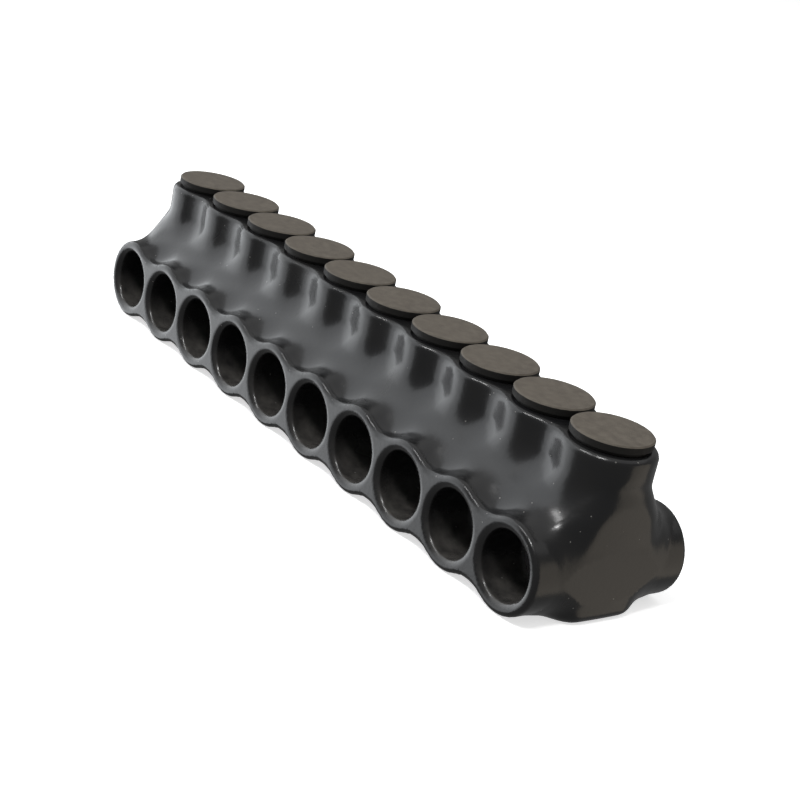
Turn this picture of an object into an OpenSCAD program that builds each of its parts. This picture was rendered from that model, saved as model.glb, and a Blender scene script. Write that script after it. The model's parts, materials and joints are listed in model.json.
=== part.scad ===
// Insulated power distribution block: a bored and tapped metal bar in a moulded vinyl jacket.
// Wires enter from both long sides, a set screw clamps each one, and a cap closes each screw well.
// Millimetres. X runs along the row of ports, Y along the wires, Z up from the underside.

/* [Row of ports] */
// Number of wire ports in the row
port_count = 10; // [2:1:16]
// Distance from one port to the next
port_pitch = 24; // [23:0.5:32]

/* [Connector bar] */
// Diameter of the bore that takes the bare conductor
wire_bore_d = 15.9; // [12:0.1:17]
// Width of the bar, along the wires
bar_w = 21.6; // [19:0.1:26]
// Metal above the bore, which the set screw is threaded through
thread_depth = 9; // [7:0.5:12]
// Metal between the last bore and the end of the bar
bar_end_wall = 3; // [2:0.1:6]
// Chamfer along the long edges of the bar
bar_chamfer = 1; // [0.5:0.1:2]

/* [Set screws] */
// Outside diameter of the set screw
screw_d = 14.2; // [10:0.1:15]
// Length of the set screw
screw_len = 12; // [9:0.5:15]
// Gap all round between the screw and its hole
screw_clearance = 0.05; // [0.02:0.01:0.1]
// How far the backed-off screw stays above the wire bore
screw_rest_gap = 0.4; // [0.2:0.1:1.5]
// Width across the flats of the hex socket
socket_af = 7.9; // [6:0.1:9]
// Depth of the hex socket
socket_depth = 6.5; // [4:0.5:8]
// Chamfer at both ends of the screw
screw_chamfer = 1; // [0.5:0.1:1.5]

/* [Vinyl jacket] */
// Vinyl over the underside, top, sides and ends of the bar
coat = 2.5; // [2:0.1:4]
// Diameter of each port opening, for the wire with its insulation
opening_d = 19.1; // [18:0.1:21]
// Wall of the port tubes
tube_wall = 3.75; // [3:0.05:5]
// Distance between the front and rear mouths
mouth_span = 54.6; // [48:0.2:64]
// Outer rounding of the port lips
lip_r = 1.9; // [1:0.1:2.4]
// Inner rounding of the port lips
lip_inner_r = 1.3; // [0.6:0.1:1.6]
// How far the web between the tubes sits back from the mouths
web_setback = 1; // [0.8:0.1:4]
// Fillet in the valleys between neighbouring tubes
tube_fillet_r = 9; // [6:0.5:12]
// Radius of the concave sweep from the tubes up to the screw towers
sweep_r = 13; // [10:0.5:16]
// How far the edge of the sweep sits back from the mouths
sweep_setback = 7; // [5:0.5:9]
// Height that the sweep reaches above the port axis
sweep_rise = 21; // [20:0.5:24]
// Diameter of the wells above the set screws
well_d = 18.8; // [17:0.1:20]
// Height of the tower rim above the port axis
tower_rise = 33.9; // [31:0.1:40]
// Rounding of the tower rims
tower_lip_r = 2; // [1:0.1:2.4]
// Fillet in the valleys between neighbouring towers
tower_fillet_r = 9; // [6:0.5:12]
// How far the web between the towers sits below their rims
tower_web_drop = 0.6; // [0.5:0.1:4]
// Plan radius of the corners at the ends of the sweep
corner_r = 13; // [8:0.5:13]
// Plan radius of the upright edges of the vinyl over the bar
body_corner_r = 6.5; // [5:0.5:10]
// Radius of the level edges of the vinyl over the bar
body_edge_r = 4; // [2:0.5:5]

/* [Access caps] */
// Gap between neighbouring cap discs
cap_gap = 1.1; // [0.6:0.1:3]
// How far the tower rim stands out past the cap disc
rim_ledge = 1.95; // [1:0.05:4]
// Thickness of the cap disc
disc_t = 2.2; // [1.5:0.1:4]
// Chamfer round the top edge of the disc
disc_chamfer = 0.4; // [0.2:0.1:0.8]
// Height of the collar that the cap stands on
collar_h = 1; // [0.5:0.1:2]
// How far the collar reaches out past the well
collar_reach = 1; // [0.5:0.1:1.5]
// Length of the stem that plugs the well
stem_len = 5; // [3:0.5:7]
// Chamfer that leads the stem into the well
stem_lead = 0.8; // [0.4:0.1:1.5]
// Gap all round between the stem and the well
stem_clearance = 0.3; // [0.2:0.05:0.6]

/* [Hidden] */
$fn = 96;
// Overshoot of every cutting shape
eps = 1;
// Step that keeps two crossing round faces from just touching
tangent_gap = 0.15;
hex_sides = 6;

// Port tubes and the height of the port axis
opening_r = opening_d / 2;
tube_r = opening_r + tube_wall;
axis_z = tube_r;
mouth_y = mouth_span / 2;

// Connector bar
bore_r = wire_bore_d / 2;
last_x = (port_count - 1) * port_pitch / 2;
bar_end_x = last_x + bore_r + bar_end_wall;
bar_z = coat;
bar_top = axis_z + bore_r + thread_depth;
screw_hole_r = screw_d / 2 + screw_clearance;

// Jacket
body_w = bar_w / 2 + coat;
body_top = bar_top + coat;
body_end_x = max(bar_end_x + coat, last_x + tube_r + tangent_gap);
cap_r = (port_pitch - cap_gap) / 2;
tower_r = cap_r + rim_ledge;
tower_top = axis_z + tower_rise;
well_r = well_d / 2;
web_y = mouth_y - web_setback;
sweep_edge_y = mouth_y - sweep_setback;

// Caps and screws
collar_r = well_r + collar_reach;
stem_r = well_r - stem_clearance;
screw_z = axis_z + bore_r + screw_rest_gap;

function port_x(i) = (i - 1) * port_pitch - last_x;
function two_digits(i) = str(i < 10 ? "0" : "", i);
function screw_name(i) = str("set_screw_", two_digits(i));
function cap_name(i) = str("access_cap_", two_digits(i));

// Draws its children once at every port
module each_port() {
    for (i = [1:port_count])
        translate([port_x(i), 0, 0]) children();
}

// Turns a profile about the port axis, with its height running along -Y
module turned_on_port_axis() {
    translate([0, 0, axis_z])
        rotate([90, 0, 0]) rotate_extrude() children();
}

// A half section of a round bar from the middle out to r and up to h, with a rounded rim
module rounded_rim_profile(r, h, rim_r) {
    square([r - rim_r, h]);
    square([r, h - rim_r]);
    translate([r - rim_r, h - rim_r]) circle(rim_r);
}

// The tapped bar before it is drilled, which is also the space that it fills in the jacket
module bar_blank() {
    w = bar_w / 2;
    c = bar_chamfer;
    section = [
        [-w + c, bar_z], [w - c, bar_z], [w, bar_z + c], [w, bar_top - c],
        [w - c, bar_top], [-w + c, bar_top], [-w, bar_top - c], [-w, bar_z + c]
    ];
    rotate([90, 0, 90])
        translate([0, 0, -bar_end_x]) linear_extrude(2 * bar_end_x) polygon(section);
}

// A rectangle about the origin with its four corners rounded
module rounded_rect(w, h, r) {
    square([w - 2 * r, h], center = true);
    square([w, h - 2 * r], center = true);
    for (sx = [-1, 1], sy = [-1, 1])
        translate([sx * (w / 2 - r), sy * (h / 2 - r)]) circle(r);
}

// Vinyl over the bar, rounded along every edge
module bar_coat() {
    length = 2 * body_end_x;
    translate([0, 0, body_top / 2])
        intersection() {
            linear_extrude(body_top, center = true) rounded_rect(length, 2 * body_w, body_corner_r);
            rotate([90, 0, 0])
                linear_extrude(2 * body_w, center = true) rounded_rect(length, body_top, body_edge_r);
            rotate([90, 0, 90])
                linear_extrude(length, center = true) rounded_rect(2 * body_w, body_top, body_edge_r);
        }
}

// One port tube, mouth to mouth, with both lips rounded
module port_tube() {
    for (turn = [0, 180])
        rotate([0, 0, turn])
            turned_on_port_axis() rounded_rim_profile(tube_r, mouth_y, lip_r);
}

// Half of the section across the row: the concave sweep from the port tubes up to the screw towers
module sweep_section() {
    centre_y = tower_r - tangent_gap + sweep_r;
    centre_z = axis_z + tube_r - tangent_gap + sweep_r;
    difference() {
        translate([0, tangent_gap]) square([sweep_edge_y, axis_z + sweep_rise - tangent_gap]);
        translate([centre_y, centre_z]) circle(sweep_r);
    }
}

// The sweeps along both sides of the row, with the corners at their ends rounded in plan
module sweeps() {
    intersection() {
        rotate([90, 0, 90])
            linear_extrude(2 * body_end_x, center = true)
                for (side = [0, 1]) mirror([side, 0]) sweep_section();
        linear_extrude(tower_top) rounded_rect(2 * body_end_x, 2 * sweep_edge_y, corner_r);
    }
}

// The webs that join a row of round posts, with a fillet in each valley between two posts
module filleted_webs(post_r, fillet_r) {
    centre = sqrt(pow(post_r + fillet_r, 2) - pow(port_pitch / 2, 2));
    touch = centre * post_r / (post_r + fillet_r);
    difference() {
        square([2 * last_x, 2 * touch], center = true);
        for (i = [2:port_count], side = [-1, 1])
            translate([port_x(i) - port_pitch / 2, side * centre]) circle(fillet_r);
    }
}

// One screw tower with a rounded rim
module tower() {
    translate([0, 0, axis_z])
        rotate_extrude() rounded_rim_profile(tower_r, tower_rise, tower_lip_r);
}

// The opening through one tube, with its inner lips eased
module port_opening() {
    lip_x = opening_r + lip_inner_r;
    for (turn = [0, 180])
        rotate([0, 0, turn])
            turned_on_port_axis() {
                square([opening_r, mouth_y + eps]);
                translate([opening_r, mouth_y - lip_inner_r])
                    difference() {
                        square([lip_inner_r, lip_inner_r + eps]);
                        translate([lip_inner_r, tangent_gap]) circle(lip_inner_r);
                    }
            }
}

// The jacket's outside as one lump, before the bar, wells and openings are taken out
module jacket_form() {
    bar_coat();
    sweeps();
    each_port() port_tube();
    each_port() tower();
    translate([0, 0, axis_z]) {
        rotate([90, 0, 0])
            linear_extrude(2 * web_y, center = true) filleted_webs(tube_r - tangent_gap, tube_fillet_r);
        linear_extrude(tower_rise - tower_web_drop) filleted_webs(tower_r - tangent_gap, tower_fillet_r);
    }
}

// Moulded vinyl jacket, one piece round the whole bar
module insulating_jacket() {
    color([0.13, 0.13, 0.14])
        difference() {
            jacket_form();
            bar_blank();
            each_port() port_opening();
            each_port() translate([0, 0, axis_z]) cylinder(r = well_r, h = tower_rise + eps);
        }
}

// Bar with a wire bore and a screw hole at every port
module connector_bar() {
    color([0.78, 0.79, 0.8])
        difference() {
            bar_blank();
            each_port() translate([0, 0, axis_z])
                rotate([90, 0, 0]) cylinder(r = bore_r, h = bar_w + 2 * eps, center = true);
            each_port() translate([0, 0, axis_z])
                cylinder(r = screw_hole_r, h = bar_top - axis_z + eps);
        }
}

// Hex socket set screw, backed off until the wire bore is clear
module set_screw(i) {
    r = screw_d / 2;
    c = screw_chamfer;
    half_section = [
        [0, 0], [r - c, 0], [r, c], [r, screw_len - c], [r - c, screw_len], [0, screw_len]
    ];
    color([0.7, 0.71, 0.72])
        translate([port_x(i), 0, screw_z])
            difference() {
                rotate_extrude() polygon(half_section);
                translate([0, 0, screw_len - socket_depth])
                    cylinder(d = socket_af / cos(180 / hex_sides), h = socket_depth + eps, $fn = hex_sides);
            }
}

// Push-in cap: a flat disc on a collar, with a stem that plugs the well
module access_cap(i) {
    disc_z = collar_h;
    c = disc_chamfer;
    half_section = [
        [0, -stem_len], [stem_r - stem_lead, -stem_len], [stem_r, stem_lead - stem_len],
        [stem_r, 0], [collar_r, 0], [collar_r, disc_z], [cap_r, disc_z],
        [cap_r, disc_z + disc_t - c], [cap_r - c, disc_z + disc_t], [0, disc_z + disc_t]
    ];
    color([0.36, 0.34, 0.32])
        translate([port_x(i), 0, tower_top]) rotate_extrude() polygon(half_section);
}

insulating_jacket();
connector_bar();
for (i = [1:port_count]) set_screw(i);
for (i = [1:port_count]) access_cap(i);
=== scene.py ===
# Insulated power distribution block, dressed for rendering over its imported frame.
# The sections follow the block as it is put together: bar, jacket, set screws, access caps, then the studio.
import json
import math

import bmesh
import bpy
import numpy as np
from mathutils import Matrix, Vector


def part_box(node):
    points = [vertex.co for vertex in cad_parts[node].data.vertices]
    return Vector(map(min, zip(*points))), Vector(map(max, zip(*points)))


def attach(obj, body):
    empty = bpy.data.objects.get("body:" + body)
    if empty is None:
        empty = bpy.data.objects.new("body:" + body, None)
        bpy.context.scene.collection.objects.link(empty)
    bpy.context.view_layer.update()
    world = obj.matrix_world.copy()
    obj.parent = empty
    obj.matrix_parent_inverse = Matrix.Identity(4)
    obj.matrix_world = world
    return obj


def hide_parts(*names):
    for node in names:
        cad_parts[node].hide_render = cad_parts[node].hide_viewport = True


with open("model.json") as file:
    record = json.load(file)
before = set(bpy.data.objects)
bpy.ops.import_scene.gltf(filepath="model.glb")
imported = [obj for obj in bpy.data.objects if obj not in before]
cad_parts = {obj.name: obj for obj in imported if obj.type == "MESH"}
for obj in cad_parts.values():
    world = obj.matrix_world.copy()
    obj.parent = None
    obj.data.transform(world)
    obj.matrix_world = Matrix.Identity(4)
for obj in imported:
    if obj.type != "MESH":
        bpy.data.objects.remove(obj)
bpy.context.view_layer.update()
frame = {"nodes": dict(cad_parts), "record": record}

scene = bpy.context.scene
port_mounts = [m for m in frame["record"]["mounts"] if m["kind"] == "bore"]
port_xs = sorted(m["pos_m"][0] for m in port_mounts)
port_axis_z = port_mounts[0]["pos_m"][2]

# Connector bar: one drawn aluminium bar, drilled across for the wires and tapped from the top for the screws.
# It is tin plated after drilling, so it has a pale satin grey finish with faint marks along its length.
# The jacket is moulded round it, so only the walls of its bores show.


def start_material(name, colour, roughness):
    """A new material with its colour and roughness set, and its node tree and shader."""
    material = bpy.data.materials.new(name)
    material.use_nodes = True
    tree = material.node_tree
    shader = tree.nodes["Principled BSDF"]
    shader.inputs["Base Color"].default_value = (*colour, 1.0)
    shader.inputs["Roughness"].default_value = roughness
    return material, tree, shader


def object_noise(tree, scale, detail, stretch=(1.0, 1.0, 1.0)):
    """Noise that stays with the piece: scale is in waves per metre, stretch lengthens it along an axis."""
    place = tree.nodes.new("ShaderNodeTexCoord")
    mapping = tree.nodes.new("ShaderNodeMapping")
    mapping.inputs["Scale"].default_value = [1.0 / s for s in stretch]
    noise = tree.nodes.new("ShaderNodeTexNoise")
    noise.inputs["Scale"].default_value = scale
    noise.inputs["Detail"].default_value = detail
    tree.links.new(place.outputs["Object"], mapping.inputs["Vector"])
    tree.links.new(mapping.outputs["Vector"], noise.inputs["Vector"])
    return noise.outputs["Fac"]


def ramp(tree, factor, low, high, start=0.3, end=0.7):
    """A colour ramp from low to high, as the factor goes from start to end."""
    node = tree.nodes.new("ShaderNodeValToRGB")
    node.color_ramp.elements[0].position = start
    node.color_ramp.elements[1].position = end
    node.color_ramp.elements[0].color = (*low, 1.0)
    node.color_ramp.elements[1].color = (*high, 1.0)
    tree.links.new(factor, node.inputs["Fac"])
    return node.outputs["Color"]


def spread(tree, factor, low, high):
    """The factor spread from its middle half onto the range from low to high."""
    node = tree.nodes.new("ShaderNodeMapRange")
    node.inputs["From Min"].default_value = 0.25
    node.inputs["From Max"].default_value = 0.75
    node.inputs["To Min"].default_value = low
    node.inputs["To Max"].default_value = high
    tree.links.new(factor, node.inputs["Value"])
    return node.outputs["Result"]


def relief(tree, shader, height, depth):
    """A bump of the given depth, in metres, on the shader."""
    node = tree.nodes.new("ShaderNodeBump")
    node.inputs["Strength"].default_value = 1.0
    node.inputs["Distance"].default_value = depth
    tree.links.new(height, node.inputs["Height"])
    tree.links.new(node.outputs["Normal"], shader.inputs["Normal"])


def dress(piece, material):
    """Gives a piece that one material in place of what it has."""
    piece.data.materials.clear()
    piece.data.materials.append(material)


tinned, tree, shader = start_material("tinned_aluminium", (0.68, 0.69, 0.70), 0.34)
shader.inputs["Metallic"].default_value = 1.0
drawn_lines = object_noise(tree, 900.0, 4.0, stretch=(40.0, 1.0, 1.0))
tree.links.new(ramp(tree, drawn_lines, (0.60, 0.61, 0.62), (0.74, 0.75, 0.76)), shader.inputs["Base Color"])
tree.links.new(spread(tree, drawn_lines, 0.28, 0.42), shader.inputs["Roughness"])
relief(tree, shader, drawn_lines, 0.00002)
dress(frame["nodes"]["connector_bar"], tinned)

# Insulating jacket: black vinyl moulded in one piece round the bar, with a tube at every port and a tower at
# every screw. The mould runs them into one another in soft fillets, so the skin has no sharp edge outside.
# It is glossy, with a faint unevenness left by the moulding, a few pale specks, and painted light on the
# floors of its bores.
end_clearance = 0.00005
end_x, mouth_y, tower_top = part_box("insulating_jacket")[1]
end_x -= end_clearance
port_pitch = port_xs[1] - port_xs[0]
tube_radius = 0.0133
opening_radius = 0.00955
outer_lip = 0.0014
inner_lip = 0.0022
tower_radius = 0.0134
tower_lip = 0.0020
well_radius = 0.0094
well_lip = 0.0006
# Radii of the fillets where the forms run into one another
between_towers = 0.0090
between_tubes = 0.0090
tower_to_tube = 0.0130
wall_to_tube_low = 0.0065
tube_to_end = 0.0025
# Radii of the rounded edges at the ends, where they are cornered and at least, and along the underside
round_end = 0.0060
round_end_least = 0.0002
round_under = 0.0030
# The end walls bulge a little, to this radius
end_crown = 0.2000
# The valleys fade out into the long hollow between towers and tubes: where they end and where they are whole
tower_lobes_up = (0.0150, 0.0260)
tube_lobes_out = (0.0165, 0.0250)
# The fillet to the tubes grows from their underside to their top
low_to_high_up = (-0.0100, 0.0060)
# The last tubes run into the ends, but not out at their mouths
blend_past_row = (0.0020, 0.0100)
blend_out = (0.0180, 0.0240)
# The ends have rounded corners beside the bar and are as round as the tower at the top
cornered_to_round_up = (0.0175, 0.0300)
# Where a port has no neighbour, this stands for the distance to it
no_neighbour = 1.0


def fillet_join(a, b, radius):
    """The distance to two forms run together with a fillet of that radius, from the distance to each."""
    inside_fillet = np.hypot(np.maximum(radius - a, 0), np.maximum(radius - b, 0))
    return np.maximum(radius, np.minimum(a, b)) - inside_fillet


def rounded_cut(a, b, radius):
    """The distance to what two forms share, with the edge between them rounded."""
    return -fillet_join(-a, -b, radius)


def rimmed(side, end, rim):
    """The distance to a form with those sides and that end, its rim rounded."""
    side, end = side + rim, end + rim
    return np.minimum(np.maximum(side, end), 0) + np.hypot(np.maximum(side, 0), np.maximum(end, 0)) - rim


def row_of_posts(lobes, straight, lobed, end, rim, fillet):
    """The distance to a row of round posts with filleted valleys between them and a rounded rim at their end.

    lobes are the distances to the sides of the two nearest posts, straight is that to a side with no valleys,
    and lobed goes from 0, where the side is straight, to 1, where it follows the posts.
    """
    return rimmed(straight + lobed * (fillet_join(*lobes, fillet) - straight), end, rim)


def ease(value, start, finish):
    """0 up to start, 1 from finish on, and a smooth rise between them."""
    t = np.clip((value - start) / (finish - start), 0, 1)
    return t * t * (3 - 2 * t)


def vinyl_skin(points):
    """The distance from each point to the skin of the vinyl, negative inside it."""
    x, y, z = points.T
    up = z - port_axis_z
    last = len(port_xs) - 1
    nearest = np.clip(np.round((x - port_xs[0]) / port_pitch), 0, last)
    from_port = x - port_xs[0] - nearest * port_pitch
    beside = nearest + np.where(from_port > 0, 1, -1)
    in_row = (beside >= 0) & (beside <= last)
    from_beside = np.where(in_row, x - port_xs[0] - beside * port_pitch, no_neighbour)
    past_row = np.maximum(np.abs(x) - port_xs[-1], 0)
    rounded = ease(up, *cornered_to_round_up)
    towers = row_of_posts(
        [np.hypot(d, y) - tower_radius for d in (from_port, from_beside)],
        np.hypot(past_row * rounded, y) - tower_radius,
        ease(up, *tower_lobes_up), z - tower_top, tower_lip, between_towers)
    tubes = row_of_posts(
        [np.hypot(d, up) - tube_radius for d in (from_port, from_beside)],
        np.hypot(past_row, up) - tube_radius,
        ease(np.abs(y), *tube_lobes_out), np.abs(y) - mouth_y, outer_lip, between_tubes)
    to_tube = wall_to_tube_low + (tower_to_tube - wall_to_tube_low) * ease(up, *low_to_high_up)
    body = fillet_join(towers, tubes, to_tube)
    crown = np.abs(x) - end_x + y**2 / (2 * end_crown)
    body = rounded_cut(body, crown, round_end_least + round_end * (1 - rounded))
    body = rounded_cut(body, -z, round_under)
    at_end = ease(past_row, *blend_past_row) * (1 - ease(np.abs(y), *blend_out))
    skin = fillet_join(body, tubes, tube_to_end * at_end)
    skin = np.maximum(skin, np.abs(x) - end_x)
    skin = rounded_cut(skin, opening_radius - np.hypot(from_port, up), inner_lip)
    well = np.maximum(np.hypot(from_port, y) - well_radius, -up)
    return rounded_cut(skin, -well, well_lip)


def skin_normal(points, step=0.0003):
    """The direction straight out of the skin at each point."""
    slope = np.stack([vinyl_skin(points + d) - vinyl_skin(points - d) for d in np.eye(3) * step], axis=1)
    return slope / np.maximum(np.linalg.norm(slope, axis=1), 1e-9)[:, None]


def vertex_places(mesh):
    """The places of a mesh's vertices as rows of an array."""
    flat = np.empty(len(mesh.vertices) * 3)
    mesh.vertices.foreach_get("co", flat)
    return flat.reshape(-1, 3)


def merged_copy(name, *nodes):
    """CAD nodes' meshes as one new object, with their loose triangles merged."""
    shape = bmesh.new()
    for node in nodes:
        shape.from_mesh(frame["nodes"][node].data)
    bmesh.ops.remove_doubles(shape, verts=shape.verts, dist=1e-6)
    mesh = bpy.data.meshes.new(name)
    shape.to_mesh(mesh)
    shape.free()
    piece = bpy.data.objects.new(name, mesh)
    scene.collection.objects.link(piece)
    return piece


def apply_modifiers(piece):
    """Applies a piece's modifiers to its mesh."""
    mesh = bpy.data.meshes.new_from_object(piece.evaluated_get(bpy.context.evaluated_depsgraph_get()))
    piece.modifiers.clear()
    piece.data = mesh


# The solid's jacket, with the bar filling it, gives small even faces
face_size = 0.0010
jacket = merged_copy("vinyl_jacket", "insulating_jacket", "connector_bar")
remesh = jacket.modifiers.new("even_faces", "REMESH")
remesh.mode = "VOXEL"
remesh.voxel_size = face_size
apply_modifiers(jacket)

# Each round draws the faces onto the skin in a few steps, then evens them out; the last only draws them
steps_a_round = 3
longest_step = 0.0020
skin_mesh = bmesh.new()
skin_mesh.from_mesh(jacket.data)
for smoothing in (0.5, 0.5, 0.5, 0.0):
    places = np.array([v.co for v in skin_mesh.verts])
    for _ in range(steps_a_round):
        step = np.clip(vinyl_skin(places), -longest_step, longest_step)
        places -= step[:, None] * skin_normal(places)
    for vertex, place in zip(skin_mesh.verts, places):
        vertex.co = place
    if smoothing:
        bmesh.ops.smooth_vert(skin_mesh, verts=skin_mesh.verts, factor=smoothing,
                              use_axis_x=True, use_axis_y=True, use_axis_z=True)
for face in skin_mesh.faces:
    face.smooth = True
skin_mesh.to_mesh(jacket.data)
skin_mesh.free()

# The bar lies in the middle of the vinyl, so its room is cut out again
bar_low, bar_high = (Vector(c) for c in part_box("connector_bar"))
bar_room = bpy.data.objects.new("bar_room", bpy.data.meshes.new("bar_room"))
scene.collection.objects.link(bar_room)
room_mesh = bmesh.new()
bmesh.ops.create_cube(room_mesh, size=1.0)
bmesh.ops.scale(room_mesh, vec=bar_high - bar_low, verts=room_mesh.verts)
bmesh.ops.translate(room_mesh, vec=(bar_low + bar_high) / 2, verts=room_mesh.verts)
room_mesh.to_mesh(bar_room.data)
room_mesh.free()
room_cut = jacket.modifiers.new("bar_room", "BOOLEAN")
room_cut.operation = "DIFFERENCE"
room_cut.solver = "MANIFOLD"
room_cut.object = bar_room
apply_modifiers(jacket)
bpy.data.objects.remove(bar_room)

# What lies on the skin is shaded as the skin turns, and the walls of the bar's room stay flat
on_skin_within = 0.00002
places = vertex_places(jacket.data)
out = skin_normal(places)
on_skin = np.abs(vinyl_skin(places)) < on_skin_within
jacket.data.normals_split_custom_set_from_vertices(out * on_skin[:, None])

# Painted light on what faces up inside the tubes: a paler colour stands in for the light that comes through
# the bores onto their floors
from_port = np.abs(places[:, 0, None] - np.array(port_xs)).min(axis=1)
in_tube = np.hypot(from_port, places[:, 2] - port_axis_z) < opening_radius + inner_lip / 2
bore_floor_light = jacket.data.attributes.new("bore_floor_painted_light", "FLOAT", "POINT")
bore_floor_light.data.foreach_set("value", np.clip(out[:, 2], 0, 1) * in_tube)


def specks(tree, scale, size):
    """A mask of round specks in the middles of cells: scale is in cells per metre, size a share of a cell."""
    place = tree.nodes.new("ShaderNodeTexCoord")
    cells = tree.nodes.new("ShaderNodeTexVoronoi")
    cells.inputs["Scale"].default_value = scale
    smaller = tree.nodes.new("ShaderNodeMath")
    smaller.operation = "LESS_THAN"
    smaller.inputs[1].default_value = size
    tree.links.new(place.outputs["Object"], cells.inputs["Vector"])
    tree.links.new(cells.outputs["Distance"], smaller.inputs[0])
    return smaller.outputs["Value"]


def both(tree, operation, a, b):
    """Two factors put together by a maths operation."""
    node = tree.nodes.new("ShaderNodeMath")
    node.operation = operation
    tree.links.new(a, node.inputs[0])
    tree.links.new(b, node.inputs[1])
    return node.outputs["Value"]


def over(tree, factor, below, above):
    """One colour laid over another by a factor; above is a plain colour."""
    node = tree.nodes.new("ShaderNodeMix")
    node.data_type = "RGBA"
    tree.links.new(factor, node.inputs["Factor"])
    tree.links.new(below, node.inputs["A"])
    node.inputs["B"].default_value = (*above, 1.0)
    return node.outputs["Result"]


vinyl, tree, shader = start_material("gloss_black_vinyl", (0.009, 0.0093, 0.0100), 0.24)
flow = object_noise(tree, 55.0, 3.0)
grain = object_noise(tree, 700.0, 2.0)
colour = ramp(tree, flow, (0.0075, 0.0078, 0.0086), (0.0115, 0.0112, 0.0112))
bore_floor_light_node = tree.nodes.new("ShaderNodeAttribute")
bore_floor_light_node.attribute_name = "bore_floor_painted_light"
patches = spread(tree, object_noise(tree, 260.0, 4.0), 0.2, 1.0)
bore_floor_light_patches = both(tree, "MULTIPLY", bore_floor_light_node.outputs["Fac"], patches)
# The paler colour on the bore floors is painted light, broken into patches by noise
colour = over(tree, bore_floor_light_patches, colour, (0.085, 0.080, 0.074))
colour = over(tree, specks(tree, 240.0, 0.05), colour, (0.16, 0.155, 0.145))
tree.links.new(colour, shader.inputs["Base Color"])
tree.links.new(spread(tree, flow, 0.20, 0.29), shader.inputs["Roughness"])
relief(tree, shader, both(tree, "ADD", flow, grain), 0.00003)
dress(jacket, vinyl)
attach(jacket, "block")
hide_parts("insulating_jacket")

# Set screws: turned from aluminium bar, threaded all along and tin plated, with a hex socket in the top.
# Each is screwed down through the bar onto the wire.
thread_pitch = 0.0015
# At a scale of one, the wave texture has this many bands in two pi metres
wave_bands = 20
threaded, tree, shader = start_material("tinned_thread", (0.68, 0.69, 0.70), 0.30)
shader.inputs["Metallic"].default_value = 1.0
place = tree.nodes.new("ShaderNodeTexCoord")
thread = tree.nodes.new("ShaderNodeTexWave")
thread.bands_direction = "Z"
thread.inputs["Scale"].default_value = 2 * math.pi / (wave_bands * thread_pitch)
tree.links.new(place.outputs["Object"], thread.inputs["Vector"])
# The colour darkens in the thread's grooves along with the relief: painted shade in the grooves
colour = ramp(tree, thread.outputs["Fac"], (0.40, 0.41, 0.42), (0.72, 0.73, 0.74))
tree.links.new(colour, shader.inputs["Base Color"])
tree.links.new(spread(tree, object_noise(tree, 1200.0, 3.0), 0.24, 0.40), shader.inputs["Roughness"])
relief(tree, shader, thread.outputs["Fac"], 0.0005)
for number in range(1, len(port_xs) + 1):
    dress(frame["nodes"][f"set_screw_{number:02d}"], threaded)

# Access caps: moulded discs of matte grey-black plastic, each pushed into the well above its screw.
# They stay on the block until the screw has to be reached.
cap_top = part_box("access_cap_01")[1][2]
# The sides are painted dark up to the chamfer, as painted shade, and the top keeps the plastic's own mottled
# colour
cap_chamfer = 0.0004
cap_plastic, tree, shader = start_material("matte_cap_plastic", (0.112, 0.097, 0.079), 0.62)
place = tree.nodes.new("ShaderNodeTexCoord")
height = tree.nodes.new("ShaderNodeSeparateXYZ")
tree.links.new(place.outputs["Object"], height.inputs["Vector"])
rise = tree.nodes.new("ShaderNodeMapRange")
rise.inputs["From Min"].default_value = cap_top - 2 * cap_chamfer
rise.inputs["From Max"].default_value = cap_top
tree.links.new(height.outputs["Z"], rise.inputs["Value"])
mottle = object_noise(tree, 420.0, 6.0)
colour = ramp(tree, mottle, (0.089, 0.076, 0.061), (0.134, 0.117, 0.095))
# Painted shade: below the chamfer the sides are coloured near black
painted_shade_on_sides = ramp(tree, rise.outputs["Result"], (1.0, 1.0, 1.0), (0.0, 0.0, 0.0), 0.45, 0.60)
colour = over(tree, painted_shade_on_sides, colour, (0.012, 0.011, 0.010))
tree.links.new(colour, shader.inputs["Base Color"])
tree.links.new(spread(tree, mottle, 0.55, 0.75), shader.inputs["Roughness"])
relief(tree, shader, object_noise(tree, 1500.0, 5.0), 0.00006)
shader.inputs["Specular IOR Level"].default_value = 0.3
for number in range(1, len(port_xs) + 1):
    dress(frame["nodes"][f"access_cap_{number:02d}"], cap_plastic)

# Studio: a plain pale floor under soft light, seen by a camera that stands where the photograph was taken.
# None of it is part of the block.
floor_mesh = bpy.data.meshes.new("floor")
floor_shape = bmesh.new()
bmesh.ops.create_grid(floor_shape, x_segments=1, y_segments=1, size=4.0)
floor_shape.to_mesh(floor_mesh)
floor_shape.free()
floor = bpy.data.objects.new("floor", floor_mesh)
scene.collection.objects.link(floor)
pale, tree, shader = start_material("pale_floor", (0.90, 0.90, 0.90), 0.9)
shader.inputs["Emission Color"].default_value = (1.0, 1.0, 1.0, 1.0)
shader.inputs["Emission Strength"].default_value = 0.64
dress(floor, pale)
# The gloss of the vinyl shows the lights alone, as if the block stood on a dark bench
floor.visible_glossy = False
floor.visible_diffuse = False

world = bpy.data.worlds.new("studio")
scene.world = world
world.use_nodes = True
background = world.node_tree.nodes["Background"]
background.inputs["Color"].default_value = (1.0, 1.0, 1.0, 1.0)
background.inputs["Strength"].default_value = 0.24


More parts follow.
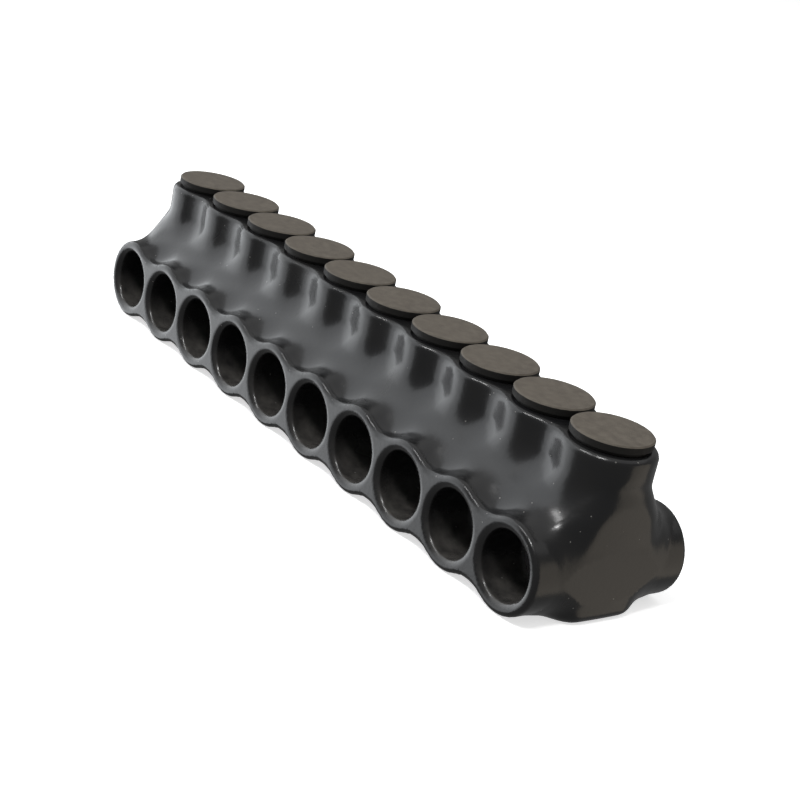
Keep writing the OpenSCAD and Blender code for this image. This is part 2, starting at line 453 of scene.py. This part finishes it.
def soft_light(name, place, aim, size, power, colour=(1.0, 1.0, 1.0)):
    """A rectangular studio light of that size in metres and power in watts, turned towards aim."""
    lamp = bpy.data.lights.new(name, "AREA")
    lamp.shape = "RECTANGLE"
    lamp.size, lamp.size_y = size
    lamp.energy = power
    lamp.color = colour
    light = bpy.data.objects.new(name, lamp)
    light.location = place
    light.rotation_euler = (Vector(aim) - Vector(place)).to_track_quat("-Z", "Y").to_euler()
    scene.collection.objects.link(light)


daylight = (0.94, 0.97, 1.0)
warm_wall = (1.0, 0.87, 0.70)
middle = (0.0, 0.0, 0.0)
# The window to the left is bright in its middle, and what shines round it lights the hollow above the tubes
soft_light("window_light", (-1.53, -0.40, -0.15), (0.0, 0.0, -0.15), (1.5, 1.5), 5.5, daylight)
soft_light("window_spread", (-1.56, -0.75, 0.38), (0.0, 0.0, 0.24), (2.4, 3.0), 33.0, daylight)
soft_light("top_light", (0.0, 0.3, 1.7), middle, (3.0, 3.0), 12.0)
# Three small lamps make the bright points on the rims and at the near end
soft_light("left_lamp", (-0.319, -0.653, 1.08), middle, (0.14, 0.14), 1.9)
soft_light("front_lamp", (-0.072, -0.685, 1.10), middle, (0.14, 0.14), 1.6)
soft_light("right_lamp", (0.42, -0.60, 1.24), middle, (0.16, 0.16), 5.5)
# A warm wall to the right shows in the end of the block
soft_light("right_light", (0.92, 0.77, -0.20), (0.0, 0.0, -0.20), (0.9, 1.2), 2.2, warm_wall)

camera = bpy.data.objects.new("camera", bpy.data.cameras.new("camera"))
scene.collection.objects.link(camera)
scene.camera = camera
photo_width_px = 800
focal_px = 1626
camera.data.sensor_width = 36.0
camera.data.lens = camera.data.sensor_width * focal_px / photo_width_px
camera_place = Vector((0.37926, -0.29584, 0.19218))
camera_aim = Vector((0.02034, 0.0, 0.02063))
camera_roll = math.radians(12.35)
look = (camera_aim - camera_place).to_track_quat("-Z", "Y").to_matrix().to_4x4()
camera.matrix_world = Matrix.Translation(camera_place) @ look @ Matrix.Rotation(camera_roll, 4, "Z")
scene.view_settings.view_transform = "Standard"
